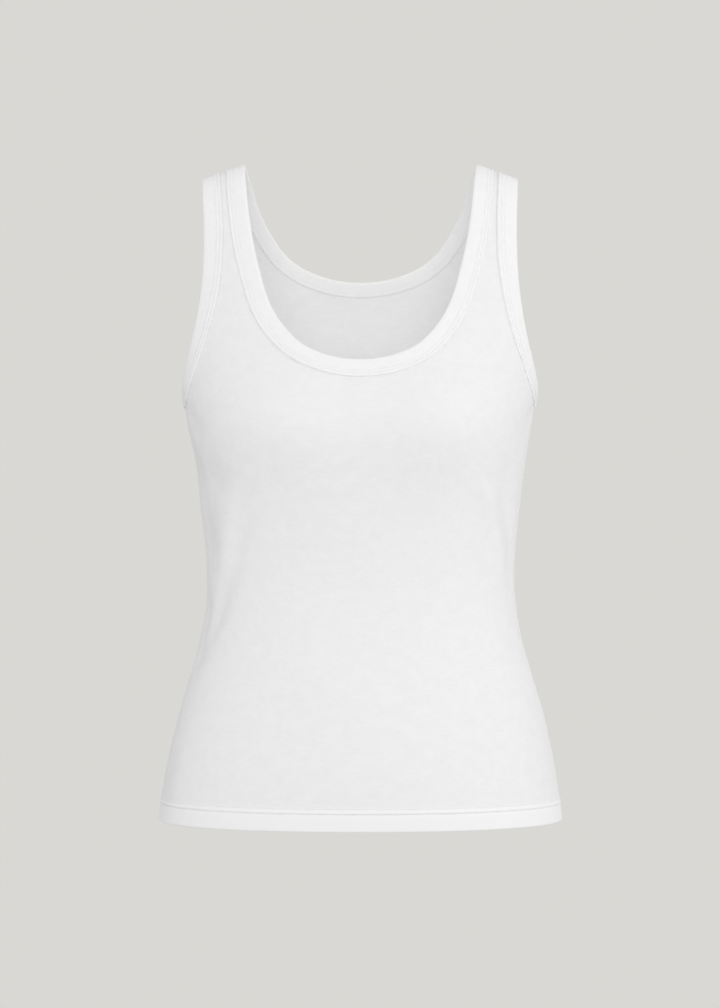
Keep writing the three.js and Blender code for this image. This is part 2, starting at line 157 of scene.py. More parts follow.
def carriedOver(turn, down):
    # a point past the shoulder line or the centre back lands on the cloth beyond it
    turn, down = np.broadcast_arrays(np.asarray(turn, float), np.asarray(down, float))
    over = down < 0
    around = np.where(over, np.sign(turn) * (2 - np.abs(turn)), turn)
    around = np.where(np.abs(around) > 2, around - 4 * np.sign(around), around)
    return around, np.abs(down)


def form(turn, down):
    around, along = carriedOver(turn, down)
    shape = bodyShape
    inFront = np.abs(around) <= 1
    share = np.where(inFront, np.abs(around), 2 - np.abs(around))
    rest = 1 - share
    wide = 3 * shape["middleFullness"] * share * rest ** 2 + 3 * share ** 2 * rest + share ** 3
    deep = rest ** 3 + 3 * share * rest ** 2 + 3 * shape["sideFullness"] * share ** 2 * rest
    level = levelAt(along)
    ease = np.where(around < 0, leftEase(level), rightEase(level))
    x = np.sign(around) * (halfAt(along) * wide + ease * wide ** 4)
    up = (level - shape["bustLevel"]) / shape["bustTall"]
    swell = 0
    for side in (-1, 1):
        swell = swell + np.exp(-(((x - side * shape["bustOut"]) / shape["bustWide"]) ** 2 + up ** 2) / 2)
    frontY = -frontAt(along) * deep - shape["bustHeight"] * swell * np.minimum(1, deep * shape["bustFades"])
    y = np.where(inFront, frontY, backAt(along) * deep)
    slope = slopeTan * (x ** 2 - shape["strapMiddle"] ** 2) / (2 * shape["strapMiddle"])
    fade = np.minimum(1, along / shape["slopeFadesAt"])
    z = level - slope * (1 - fade ** 2 * (3 - 2 * fade)) + clothThick
    return np.stack([x, y, z], -1)


def directions(turn, down):
    turn, down = np.asarray(turn, float), np.asarray(down, float)
    nearDown, nearTurn = bodyShape["nearDown"], bodyShape["nearTurn"]
    along = (form(turn, down + nearDown) - form(turn, down - nearDown)) / (2 * nearDown)
    across = (form(turn + nearTurn, down) - form(turn - nearTurn, down)) / (2 * nearTurn)
    normal = np.cross(along, across)
    return along, across, normal / np.linalg.norm(normal, axis=-1, keepdims=True)


def wrapped(turnGap):
    return np.where(np.abs(turnGap) > 2, turnGap - 4 * np.sign(turnGap), turnGap)


def foldHeight(turn, down, table):
    around, beside = carriedOver(turn, down)
    total = np.zeros(around.shape)
    for turnFrom, downFrom, turnTo, downTo, high, wide in table:
        run = float(wrapped(np.array(turnTo - turnFrom))) * turnMm
        runDown = downTo - downFrom
        atTurn = wrapped(around - turnFrom) * turnMm
        atDown = beside - downFrom
        length = math.hypot(run, runDown)
        share = (atTurn * run + atDown * runDown) / length ** 2
        aside = (atTurn * runDown - atDown * run) / length
        pastEnd = np.maximum(0, np.abs(share - 0.5) - bodyShape["foldFull"]) * length
        fading = (pastEnd / (bodyShape["foldFade"] * length)) ** 2
        total += high * np.exp(-fading - (aside / wide) ** 2 / 2)
    return total


def clothPoint(turn, down, lift):
    normal = directions(turn, down)[2]
    height = foldHeight(turn, down, folds) + lift
    return form(turn, down) + normal * height[..., None]


def movedAlong(turn, down, heading, distance, steps=6):
    # walks over the cloth in a direction of space
    turn, down = np.array(turn, float), np.array(down, float)
    for _ in range(steps):
        along, across, normal = directions(turn, down)
        way = heading - normal * np.sum(heading * normal, -1, keepdims=True)
        way = way / np.linalg.norm(way, axis=-1, keepdims=True)
        aa, ab, bb = (np.sum(p * q, -1) for p, q in ((along, along), (along, across), (across, across)))
        wa, wb = np.sum(way * along, -1), np.sum(way * across, -1)
        size = distance / steps / (aa * bb - ab ** 2)
        turn, down = carriedOver(turn + (wb * aa - wa * ab) * size, down + (wa * bb - wb * ab) * size)
    return turn, down


# the lines that an edge runs on past as its own mirror image: a sign for each direction, and a shift
overCentre, overShoulder, overSide = ((-1, 1), (0, 0)), ((1, -1), (0, 0)), ((-1, 1), (2 * turnMm, 0))


def edgeLine(table, startMirror, endMirror):
    # smooth line through an edge's points
    points = np.array(table, float) * (turnMm, 1)
    before, after = (point * sign + shift for point, (sign, shift)
                     in ((points[1], startMirror), (points[-2], endMirror)))
    ends = np.vstack([before, points, after])
    line = []
    for i in range(1, len(ends) - 2):
        p0, p1, p2, p3 = ends[i - 1:i + 3]
        t1 = math.sqrt(np.linalg.norm(p1 - p0))
        t2 = t1 + math.sqrt(np.linalg.norm(p2 - p1))
        t3 = t2 + math.sqrt(np.linalg.norm(p3 - p2))
        for t in np.linspace(t1, t2, 24, endpoint=False):
            a1, a2 = p0 + (p1 - p0) * t / t1, p1 + (p2 - p1) * (t - t1) / (t2 - t1)
            a3 = p2 + (p3 - p2) * (t - t2) / (t3 - t2)
            b1, b2 = a1 + (a2 - a1) * t / t2, a2 + (a3 - a2) * (t - t1) / (t3 - t1)
            line.append(b1 + (b2 - b1) * (t - t1) / (t2 - t1))
    line.append(points[-1])
    return np.array(line) / (turnMm, 1)


def lengthsOf(line):
    places = form(*line.T)
    return np.concatenate([[0], np.cumsum(np.linalg.norm(np.diff(places, axis=0), axis=1))])


def pickedAlong(line, shares):
    lengths = lengthsOf(line)
    wanted = np.asarray(shares) * lengths[-1]
    return np.stack([np.interp(wanted, lengths, line[:, axis]) for axis in (0, 1)], -1)


def toBack(line):
    return np.stack([2 - line[:, 0], line[:, 1]], -1)


def closedEdge(firstHalf, secondHalf, step):
    # the right side's two half edges, evenly stepped along the cloth
    halves = []
    for line in (firstHalf, secondHalf):
        count = max(8, round(lengthsOf(line)[-1] / step))
        halves.append(pickedAlong(line, np.linspace(0, 1, count + 1)))
    return np.vstack([halves[0], halves[1][1:]]), len(halves[0]) - 1


neckFront = edgeLine(neckFrontEdge, overCentre, overShoulder)
neckBack = edgeLine(neckBackEdge, overCentre, overShoulder)
armFront = edgeLine(armFrontEdge, overShoulder, overSide)
armBack = edgeLine(armBackEdge, overShoulder, overSide)

bindingStep = 1.6  # mm between the stations of a binding
neckRight, neckTurn = closedEdge(neckFront, toBack(neckBack)[::-1], bindingStep)
neckEdge = np.vstack([neckRight, (neckRight * (-1, 1))[-2:0:-1]])
armLoop, armTurn = closedEdge(armFront, toBack(armBack)[::-1], bindingStep)
armEdgeRight = armLoop[:-1]
armEdgeLeft = (armEdgeRight * (-1, 1))[::-1]


def headingsIn(edge):
    places = form(*edge.T)
    run = np.roll(places, -1, axis=0) - np.roll(places, 1, axis=0)
    run /= np.linalg.norm(run, axis=1, keepdims=True)
    return np.cross(run, directions(*edge.T)[2])


# the knit strips are stretched unevenly as they are sewn on: mm down the edge, and the amount there
bindingFit = {
    # share that a binding is wider than its plain width
    "neckLeftFront": ((0, 0), (12, 0.05), (20, 0.05), (100, 0.13), (165, 0.13), (204, 0)),
    "leftArmFront": ((0, 0.03), (90, 0.15), (135, 0.15), (200, 0.03), (232, 0)),
    "leftArmBack": ((0, 0.03), (60, 0)),
    "rightArmFront": ((0, 0.13), (40, 0.14), (110, 0.17), (200, 0)),
    "rightArmBack": ((0, 0.13), (80, 0)),
    # mm that the neck fold lies further in, at the left curve, or out, down the right strap
    "neckFurtherIn": ((90, 0), (150, 0.9), (180, 0.9), (206, 0)),
    "neckFurtherOut": ((0, 0), (40, 1.1), (120, 1.1), (175, 0)),
}


def fromTable(table, values):
    places, amounts = zip(*table)
    return np.interp(values, places, amounts)


def neckWidths(edge):
    # factors on the plain width, one for each station of the edge
    leftFront = (edge[:, 0] < 0) & (edge[:, 0] > -1)
    return 1 + np.where(leftFront, fromTable(bindingFit["neckLeftFront"], edge[:, 1]), 0)


def neckShift(edge):
    front, down = np.abs(edge[:, 0]) < 1, edge[:, 1]
    left = np.where(front & (edge[:, 0] < 0), fromTable(bindingFit["neckFurtherIn"], down), 0)
    right = np.where(front & (edge[:, 0] > 0), fromTable(bindingFit["neckFurtherOut"], down), 0)
    return left - right


def armWidths(edge):
    # wider in front of the arm, most of all on the right, and plain again just behind the shoulder
    front, down = np.abs(edge[:, 0]) < 1, edge[:, 1]
    left, right = (np.where(front, fromTable(bindingFit[side + "ArmFront"], down),
                            fromTable(bindingFit[side + "ArmBack"], down)) for side in ("left", "right"))
    return 1 + np.where(edge[:, 0] < 0, left, right)


print("shape worked out: hem", round(hemDown), "mm down the cloth, neck edge", len(neckEdge), "stations")


def newPiece(name, points, faces, flatWays=None):
    mesh = bpy.data.meshes.new(name)
    mesh.from_pydata((np.asarray(points) * mm).tolist(), [], [list(map(int, face)) for face in faces])
    mesh.validate()
    if flatWays is not None:
        layer = mesh.uv_layers.new(name="cloth")
        corners = np.empty(len(mesh.loops), dtype=np.int32)
        mesh.loops.foreach_get("vertex_index", corners)
        layer.data.foreach_set("uv", np.asarray(flatWays)[corners].astype(np.float32).ravel())
    mesh.polygons.foreach_set("use_smooth", [True] * len(mesh.polygons))
    mesh.update()
    piece = bpy.data.objects.new(name, mesh)
    bpy.context.collection.objects.link(piece)
    return piece


def gridFaces(rows, columns, closed=False, start=0):
    r, c = np.meshgrid(np.arange(rows - 1), np.arange(columns if closed else columns - 1), indexing="ij")
    a = start + r * columns + c
    b = start + (r + 1) * columns + c
    across = (c + 1) % columns - c
    return np.stack([a, b, b + across, a + across], -1).reshape(-1, 4)


def openEdges(faces):
    # edges that only one face uses, in that face's order
    pairs = np.vstack([faces[:, [k, (k + 1) % 4]] for k in range(4)])
    size = int(faces.max()) + 1
    forward, backward = pairs[:, 0] * size + pairs[:, 1], pairs[:, 1] * size + pairs[:, 0]
    return pairs[~np.isin(forward, backward)]


def shell(name, params, faces, outerPoints, innerPoints, flatWays):
    count = len(params)
    rim = openEdges(faces)
    rims = np.stack([rim[:, 0], rim[:, 0] + count, rim[:, 1] + count, rim[:, 1]], -1)
    allFaces = np.vstack([faces, faces[:, ::-1] + count, rims])
    return newPiece(name, np.vstack([outerPoints, innerPoints]), allFaces, np.vstack([flatWays, flatWays]))


# front and back panels, in mm
panelMake = {
    "hemTurnUp": 20,          # mm of cloth folded up inside
    "needleRows": (15.2, 19.9),   # mm above the hem fold
    # the stitched hem from its fold upward: mm above the fold, and lift off the cloth
    "hemProfile": ((0, -0.9), (0.4, -0.35), (1.2, 0), (4, 0.15), (9, 0.28), (13.2, 0.25), (14.3, 0.1),
                   (14.8, -0.25), (15.2, -0.4), (15.5, -0.15), (15.9, 0.6), (16.4, 0.95), (17.2, 0.85),
                   (18.3, 0.6), (19.4, 0.32), (19.9, 0.16), (20.4, 0.16), (22, 0.03), (25, 0)),
    "hemStepWide": 0.35,      # how sharply the wall doubles at the turn-up
    "hemFoldThin": (0.5, 0.8),    # how much the wall narrows to the fold, and over what height
    # mesh lines beside a binding, in mm in from its fold; the first is the panel's raw edge
    "besideEdge": (2.9, 5, 9, 12.5, 15.2, 16.1, 16.45, 16.7, 16.95, 17.2, 17.5),
    "grooveAt": 16.9,         # the panel is drawn in beside the binding's stitched edge
    "neckGroove": ((-80, 0.75), (-50, 0.4), (-15, 0.15), (80, 0.1)),   # across, and its depth there
    "leftArmGroove": ((0, 0.1), (120, 0.15), (200, 0), (232, -0.1)),   # down, and its depth there
    "rightArmGroove": ((0, 0), (30, 0.45), (115, 0.45), (150, -0.05), (232, -0.2)),
    "grooveWide": 0.5,
    "seamDip": 0.75,          # how far the cloth dips into a seam
    "seamDipWide": 1.5,
    "shoulderDipShare": 0.25,
    "insideDipShare": 0.25,
    "seamHalfGap": 0.03,
    "seamSteps": (0, 0.45, 0.95, 1.5, 2.3, 3.6),   # mesh lines beside a seam, mm away from it
    # small waves of cloth beside a stitched edge: their length, depth and reach
    "bindingPuckers": (17, 0.16, 13),
    "sidePuckers": (21, 0.14, 16),
    "hemPuckers": (13, 0.12, 14),
    "centreColumns": 20,
    "strapColumns": 24,
    "sideColumns": 22,
    "strapRows": 66,
    "bodyRows": 128,
    "sideLead": 5,            # where the close mesh columns of the side begin
    "hemLead": 5,             # where the close mesh rows of the hem begin above its turn-up
    "hemRowStep": 0.5,
    "rowsCloser": 1.1,        # over 1 puts the body's rows closer at the top
    "turnsSettle": 0.8,       # how soon the mesh columns below the straps spread out evenly
    # where strap and body meet, mm down the neck edge and the arm edge
    "corners": {"front": (168, 182), "back": (98, 186)},
}

# small creases that are too fine for the solids, in the same form as the folds
smallFolds = [
    (-0.8, 310, -0.43, 327, -3.0, 13),
    (0.5, 318, 0.72, 312, -1.0, 9),
    (0.0, 480, -0.03, 602, 1.5, 22),
    (-0.18, 410, -0.22, 500, 0.9, 20),
    (-0.62, 300, -0.78, 356, -0.9, 7),
    (-0.79, 300, -0.8, 388, -2.4, 14),
    (-0.6, 396, -0.8, 460, 0.8, 7),
    (-0.88, 412, -0.87, 492, -3.1, 12.5),
    (-0.86, 556, -0.88, 626, -1.6, 16),
    (0.57, 336, 0.7, 384, -0.7, 6),
    (0.78, 380, 0.95, 436, 0.7, 7),
    (-0.2, 500, -0.34, 606, -0.9, 16),
    (0.12, 520, 0.18, 610, 0.7, 15),
    (0.62, 500, 0.7, 606, 0.8, 16),
    (-0.7, 520, -0.74, 612, 0.9, 14),
    (-0.95, 240, -0.8, 262, -0.8, 5),
    (0.97, 240, 0.82, 266, -0.7, 5),
    (1.1, 244, 1.24, 300, -1.0, 6),
    (-1.08, 246, -1.26, 292, -1.1, 6),
    (1.5, 120, 1.62, 210, 0.8, 10),
    (-1.5, 130, -1.66, 205, 0.9, 10),
    (1.86, 372, -1.9, 376, 1.2, 7),
    (1.5, 410, 1.84, 418, -1.0, 8),
    (-1.3, 386, -1.62, 410, -1.0, 7),
    (1.3, 396, 1.56, 384, 1.0, 7),
    (1.72, 500, 1.78, 608, 0.9, 16),
    (-1.66, 510, -1.7, 612, -0.9, 15),
]

seamSteps = np.array(panelMake["seamSteps"])


def seamClosed(shares, length):
    # puts close steps at the end of a run of shares, where a seam lies
    near = 1 - seamSteps[::-1] / length
    inner = shares[shares < near[0] - 0.3 * (shares[1] - shares[0])]
    return np.concatenate([inner, near])


def sideTurn(down, depthAt):
    return 1 - panelMake["seamHalfGap"] / (3 * bodyShape["sideFullness"] * depthAt(down))


def mixed(a, b, share):
    return a + (b - a) * share


def besideLines(edge, headings, widths, lastTurnAt):
    # the edge again at each distance in from its fold, from the shoulder to the other end
    lines, reached = [], 0
    turn, down = edge.T
    for far in panelMake["besideEdge"]:
        turn, down = movedAlong(turn, down, headings, (far - reached) * widths, steps=2)
        reached = far
        around = np.where(turn > 1, 2 - turn, turn)
        line = np.stack([around, np.maximum(down, panelMake["seamHalfGap"])], -1)
        line[0, 1] = panelMake["seamHalfGap"]
        line[-1, 0] = lastTurnAt(line[-1, 1])
        lines.append(line)
    return np.array(lines)


def stationsAlong(line, first, last, shares):
    lengths = lengthsOf(line[first:last + 1])
    return first + np.interp(shares * lengths[-1], lengths, np.arange(len(lengths)))


def atStations(lines, stations):
    low = np.minimum(np.floor(stations).astype(int), lines.shape[1] - 2)
    share = (stations - low)[:, None]
    return lines[:, low] * (1 - share) + lines[:, low + 1] * share


neckHeadings, armHeadings = headingsIn(neckEdge)[:len(neckRight)], headingsIn(armEdgeRight)
halves = {
    "front": (slice(neckTurn, None, -1), slice(0, armTurn + 1)),
    "back": (slice(neckTurn, len(neckRight)), slice(len(armEdgeRight), armTurn - 1, -1)),
}


def halfPanel(which, depthAt, side):
    make = panelMake
    neckPart, armPart = halves[which]
    armRound, armRoundIn = (np.vstack([line, line[:1]]) for line in (armEdgeRight, armHeadings))
    neckHalf, armHalf = neckRight[neckPart], armRound[armPart]
    neckWide = neckWidths(neckHalf * (side, 1))
    neckLines = besideLines(neckHalf, neckHeadings[neckPart], neckWide, lambda down: 0)
    armWide = armWidths(armHalf * (side, 1))
    armLines = besideLines(armHalf, armRoundIn[armPart], armWide, lambda down: sideTurn(down, depthAt))
    neckCorner, armCorner = (int(np.argmax(lines[0][:, 1] > cornerDown)) for lines, cornerDown
                             in zip((neckLines, armLines), make["corners"][which]))
    upLength = lengthsOf(neckLines[-1][:neckCorner + 1])[-1]
    rowShares = 1 - seamClosed(np.linspace(0, 1, make["strapRows"] + 1), upLength)[::-1]
    acrossShares = np.linspace(0, 1, make["strapColumns"] + 1)
    centreShares = np.linspace(0, 1, make["centreColumns"] + 1)
    armEnd, neckEnd = armLines.shape[1] - 1, neckLines.shape[1] - 1
    armLeft = lengthsOf(armLines[-1][armCorner:])[-1]
    sideShares = seamClosed(np.linspace(0, 1, make["sideColumns"] + 1), armLeft)
    neckUp = atStations(neckLines, stationsAlong(neckLines[-1], 0, neckCorner, rowShares))
    neckAcross = atStations(neckLines, stationsAlong(neckLines[-1], neckCorner, neckEnd, centreShares))
    armUp = atStations(armLines, stationsAlong(armLines[-1], 0, armCorner, rowShares))
    armAcross = atStations(armLines, stationsAlong(armLines[-1], armCorner, armEnd, sideShares))
    neckCollar = np.concatenate([neckUp, neckAcross[:, 1:]], 1).transpose(1, 0, 2)
    armCollar = np.concatenate([armUp, armAcross[:, 1:]], 1)[::-1].transpose(1, 0, 2)
    inner, outer = neckUp[-1], armUp[-1]
    u, v = acrossShares[None, :, None], rowShares[:, None, None]
    top, low = (mixed(inner[k], outer[k], acrossShares[:, None]) for k in (0, -1))
    sides = mixed(inner[:, None], outer[:, None], u)
    ends = mixed(top[None], low[None], v)
    corner = mixed(mixed(top[0], top[-1], u), mixed(low[0], low[-1], u), v)
    strap = sides + ends - corner
    bodyTop = np.vstack([neckAcross[-1][::-1], strap[-1][1:], armAcross[-1][1:]])
    even = len(bodyTop) - len(seamSteps)
    besideSeam = 1 - make["sideLead"] / turnMm
    lowShares = np.concatenate([np.linspace(0, besideSeam, even + 1)[:-1], 1 - seamSteps[::-1] / turnMm])
    hemStart = hemDown - make["hemTurnUp"] - make["hemLead"]
    shares = np.linspace(0, 1, make["bodyRows"] + 1)[:, None] ** make["rowsCloser"]
    turns = mixed(bodyTop[:, 0][None], lowShares[None], np.minimum(1, shares ** make["turnsSettle"]))
    downs = mixed(bodyTop[:, 1][None], hemStart, shares)
    rowStep = make["hemRowStep"]
    hemDowns = np.arange(hemStart + rowStep, hemDown + 0.01, rowStep)
    hemDowns = np.append(hemDowns[hemDowns < hemDown - 0.4 * rowStep], hemDown)
    turns = np.vstack([turns, np.repeat(lowShares[None], len(hemDowns), 0)])
    downs = np.vstack([downs, np.repeat(hemDowns[:, None], len(lowShares), 1)])
    turns[:, -1] = sideTurn(downs[:, -1], depthAt)
    return strap, np.stack([turns, downs], -1), neckCollar, armCollar


def hemRelief(down):
    return fromTable(panelMake["hemProfile"], hemDown - down)


def puckers(turn, down, away, period, depth, reach):
    # uneven along the edge as well
    along = turn * turnMm + down * 0.6
    wave = np.sin(2 * np.pi * along / period + 1.7 * np.sin(along / 23)) * (0.6 + 0.4 * np.sin(along / 37))
    return depth * wave * np.exp(-(away / reach) ** 2)


def nearestDistance(points, edge, widthsOf):
    # in mm where the binding has its plain width, and in proportion where it is wider
    line, widths = form(*edge.T), widthsOf(edge)
    nearest = np.full(len(points), 1e9)
    for start in range(0, len(line), 64):
        gap = np.linalg.norm(points[:, None] - line[None, start:start + 64], axis=-1)
        nearest = np.minimum(nearest, (gap / widths[None, start:start + 64]).min(1))
    return nearest


def panelDetail(turn, down):
    return foldHeight(turn, down, smallFolds)


def panel(which, depthAt):
    make, params, faces, start = panelMake, [], [], 0
    for side in (1, -1):
        for block in halfPanel(which, depthAt, side):
            grid = gridFaces(block.shape[0], block.shape[1], start=start)
            faces.append(grid if (side > 0) == (which == "front") else grid[:, ::-1])
            params.append((block * (side, 1)).reshape(-1, 2))
            start += block.shape[0] * block.shape[1]
    params, faces = np.vstack(params), np.vstack(faces)
    keys = np.round(params * (1e5, 1e3)).astype(np.int64)
    _, first, same = np.unique(keys, axis=0, return_index=True, return_inverse=True)
    params, faces = params[first], same.reshape(-1)[faces]
    flatTurn, down = params[:, 0], params[:, 1]
    ahead = np.where(flatTurn < 0, -1.0, 1.0)
    turn = flatTurn if which == "front" else ahead * 2 - flatTurn
    plain = form(turn, down)
    fromNeck = nearestDistance(plain, neckEdge, neckWidths)
    fromArm = np.minimum(*(nearestDistance(plain, edge, armWidths) for edge in (armEdgeRight, armEdgeLeft)))
    fromEdge = np.maximum(0, np.minimum(fromNeck, fromArm) - make["grooveAt"])
    besideNeck = fromTable(make["neckGroove"], plain[:, 0])
    besideArm = np.where(turn < 0, fromTable(make["leftArmGroove"], down),
                         fromTable(make["rightArmGroove"], down))
    groove = 0
    for away, deep in ((fromNeck, besideNeck), (fromArm, besideArm)):
        groove = groove + deep * np.exp(-((away - make["grooveAt"]) / make["grooveWide"]) ** 2)
    toSide = (1 - np.abs(flatTurn)) * 3 * bodyShape["sideFullness"] * depthAt(down)
    dip = make["seamDip"] * np.exp(-(toSide / make["seamDipWide"]) ** 2)
    dip += make["shoulderDipShare"] * make["seamDip"] * np.exp(-(down / make["seamDipWide"]) ** 2)
    turnUpStart = hemDown - make["hemTurnUp"]
    rough = puckers(turn, down, fromEdge, *make["bindingPuckers"])
    rough += puckers(turn, down, toSide, *make["sidePuckers"])
    rough += puckers(turn, down, np.maximum(0, turnUpStart - down), *make["hemPuckers"])
    detail = panelDetail(turn, down) + rough
    outer = clothPoint(turn, down, detail + hemRelief(down) - dip - groove)
    doubled = 1 / (1 + np.exp(-(down - turnUpStart) / make["hemStepWide"]))
    thinner, height = make["hemFoldThin"]
    thick = clothThick * (1 + doubled) - thinner * np.exp(-((hemDown - down) / height) ** 2)
    inner = clothPoint(turn, down, detail - thick - make["insideDipShare"] * dip)
    flatWays = np.stack([turn * turnMm, -down], -1) * mm
    return shell(which + "Panel", params, faces, outer, inner, flatWays)


frontPanel = panel("front", frontAt)
backPanel = panel("back", backAt)
print("panels:", len(frontPanel.data.polygons), "and", len(backPanel.data.polygons), "faces")


# folded bindings, in mm
bindingMake = {
    "width": 16.5,
    "insideWidth": 14.3,      # the leg inside the garment
    "clear": 0.12,            # over the panel
    "thick": 1.05,
    "needleRows": (2.9, 5.7),     # mm in from the binding's stitched edge
    "needleDepth": (0.3, 0.16),
    "needleWide": 0.42,
    # two ridges beside the needle rows: mm in from the stitched edge, height and width
    "ridges": ((1.3, 0.3, 0.9), (4.3, 0.22, 0.8)),
    # mesh lines of the outside leg, mm in from the stitched edge
    "legSteps": (0.03, 0.2, 0.5, 0.9, 1.4, 1.9, 2.4, 2.8, 3.2, 3.7, 4.3, 4.9, 5.3, 5.7, 6.1, 6.8, 8.1, 9.6,
                 11.1, 12.5, 13.5),
    "foldReach": 2.2,         # how far in the rolled fold goes
    "pucker": 0.09,
    "joinDepth": 0.35,        # the crosswise seam where its two ends meet
    "insideRows": (2.2, 5.4),     # thread inside, mm in from the raw edge
}


def bindingSection():
    # inward from the fold, and lift off the panel's outer face
    make = bindingMake
    wide, inside, thick = make["width"], make["insideWidth"], make["thick"]
    top = make["clear"] + thick
    under = -clothThick - make["clear"]
    bottom = under - thick
    section = [(wide, make["clear"] + 0.25 * thick)]
    for fromEdge in make["legSteps"]:
        lift = top - 0.4 * thick * math.exp(-(fromEdge / 0.3) ** 2)
        for row, depth in zip(make["needleRows"], make["needleDepth"]):
            lift -= depth * math.exp(-((fromEdge - row) / make["needleWide"]) ** 2)
        for row, high, reach in make["ridges"]:
            lift += high * math.exp(-((fromEdge - row) / reach) ** 2)
        section.append((wide - fromEdge, lift))
    half, middle = (top - bottom) / 2, (top + bottom) / 2
    for k in range(1, 12):
        angle = math.pi * k / 12
        section.append((make["foldReach"] * (1 - math.sin(angle)), middle + half * math.cos(angle)))
    for inward in (3.5, 6, 8.5, inside - 4, inside - 3, inside - 2.2, inside - 1.4):
        section.append((inward, bottom + 0.18 * math.exp(-((inside - inward - 2.9) / 0.5) ** 2)))
    section += [(inside - 0.5, bottom + 0.15), (inside, under - 0.5 * thick), (inside - 0.1, under)]
    section += [(inward, under) for inward in (11, 6, 1.6)]
    section += [(inward, make["clear"]) for inward in (1.6, 6, 11)]
    section.append((wide - 0.1, make["clear"]))
    return section


def closedLengths(places):
    # length from the first point to each of the others and back to the first, and the whole length
    steps = np.linalg.norm(np.roll(places, -1, axis=0) - places, axis=1)
    return np.concatenate([[0], np.cumsum(steps)]), float(steps.sum())


def binding(name, edge, widths, shift, joinAt):
    make, section, headings = bindingMake, bindingSection(), headingsIn(edge)
    lengths, whole = closedLengths(form(*edge.T))
    along = lengths[:-1]
    wave = np.sin(2 * np.pi * along / 7.3 + 1.3 * np.sin(along / 11)) * (0.6 + 0.4 * np.sin(along / 29))
    fromJoin = np.abs((along - joinAt * whole + whole / 2) % whole - whole / 2)
    join = make["joinDepth"] * np.exp(-(fromJoin / 0.9) ** 2)
    join -= 0.5 * make["joinDepth"] * np.exp(-((fromJoin - 3.2) / 2.2) ** 2)
    rows, ways = [], []
    for inward, lift in section:
        far = inward * widths if lift > 0 else inward * np.ones(len(edge))
        far = far + shift * max(0, 1 - inward / 12)
        turn, down = movedAlong(*edge.T, headings, far)
        outside = lift > make["clear"] + 0.2
        ripple = make["pucker"] * wave * (0.4 + 0.6 * inward / make["width"]) if outside else 0
        sunk = -join if outside else 0
        rows.append(clothPoint(turn, down, lift + ripple + sunk + panelDetail(turn, down)))
        ways.append(np.stack([along, np.full(len(edge), inward + (0 if lift > 0 else 40))], -1) * mm)
    points, flatWays = np.stack(rows, 1), np.stack(ways, 1)
    wide = len(section)
    faces = gridFaces(len(edge) + 1, wide, closed=True) % (len(edge) * wide)
    return newPiece(name, points.reshape(-1, 3), faces, flatWays.reshape(-1, 2))


neckBinding = binding("neckBinding", neckEdge, neckWidths(neckEdge), neckShift(neckEdge), 0.65)
armBindingRight = binding("armBindingRight", armEdgeRight, armWidths(armEdgeRight), 0, 0.5)
armBindingLeft = binding("armBindingLeft", armEdgeLeft, armWidths(armEdgeLeft), 0, 0.5)
print("bindings:", len(neckBinding.data.polygons), "faces at the neck")


# sewing thread, in mm
threadMake = {
    "radius": 0.16,
    "stitch": 2.9,            # from one needle hole to the next
    "gap": 0.5,               # thread that dives into the hole
    "sides": 5,
    # one stitch, from hole to hole: share of its length, height and thickness
    "bits": (0.04, 0.2, 0.5, 0.8, 0.96),
    "arch": (-0.16, 0.06, 0.12, 0.06, -0.16),
    "taper": (0.75, 1, 1, 1, 0.75),
    "wobble": 0.05,
    "ringSteps": 1400,        # stations right round the hem
    "looper": ((0, 0.2), (0.6, 0.35)),    # above the needle rows, and clear of the cloth
}


def threadRun(paths, radius, sides=threadMake["sides"]):
    # joins short bits of thread, each given as its points, the way up and the thickness at each point
    angles = 2 * np.pi * np.arange(sides) / sides
    points, faces, start = [], [], 0
    for path, up, taper in paths:
        run = np.gradient(path, axis=0)
        run /= np.linalg.norm(run, axis=1, keepdims=True)
        side = np.cross(run, up)
        side /= np.linalg.norm(side, axis=1, keepdims=True)
        rise = np.cross(side, run)
        ring = side[:, None] * np.cos(angles)[None, :, None] + rise[:, None] * np.sin(angles)[None, :, None]
        points.append((path[:, None] + ring * (radius * taper)[:, None, None]).reshape(-1, 3))
        count = len(path)
        faces.extend(gridFaces(count, sides, closed=True, start=start).tolist())
        faces.append(list(range(start, start + sides)))
        faces.append(list(range(start + (count - 1) * sides, start + count * sides))[::-1])
        start += count * sides
    return np.vstack(points), faces


def stitchPaths(placeAt, length):
    # straight stitches along a line, given as a function from length to point and way up
    make = threadMake
    count = max(1, int(round(length / make["stitch"])))
    pitch = length / count
    bits, arch, taper = (np.array(make[part]) for part in ("bits", "arch", "taper"))
    at = np.arange(count)[:, None] + bits * (1 - make["gap"] / pitch) + 0.5 * make["gap"] / pitch
    point, up = (found.reshape(count, len(bits), 3) for found in placeAt((at * pitch).ravel()))
    point = point + up * arch[:, None] + chance.normal(0, make["wobble"], (count, 1, 3))
    return [(point[i], up[i], taper) for i in range(count)]


def closedLine(turn, down, lift):
    # a closed line over the cloth, as a function from length to point and way up, and its whole length
    places = clothPoint(turn, down, lift + panelDetail(turn, down))
    ups = directions(turn, down)[2]
    lengths, whole = closedLengths(places)
    places, ups = (np.vstack([line, line[:1]]) for line in (places, ups))

    def placeAt(at):
        at = np.mod(at, whole)
        point, up = (np.stack([np.interp(at, lengths, line[:, k]) for k in range(3)], -1)
                     for line in (places, ups))
        return point, up / np.linalg.norm(up, axis=1, keepdims=True)

    return placeAt, whole


def lineBeside(edge, inward, lift):
    return closedLine(*movedAlong(*edge.T, headingsIn(edge), inward), lift)


def lineRound(above, lift):
    # right round the cloth, a set height above the hem fold
    turn = np.linspace(-2, 2, threadMake["ringSteps"], endpoint=False)
    return closedLine(turn, np.full(turn.shape, hemDown - above), lift)


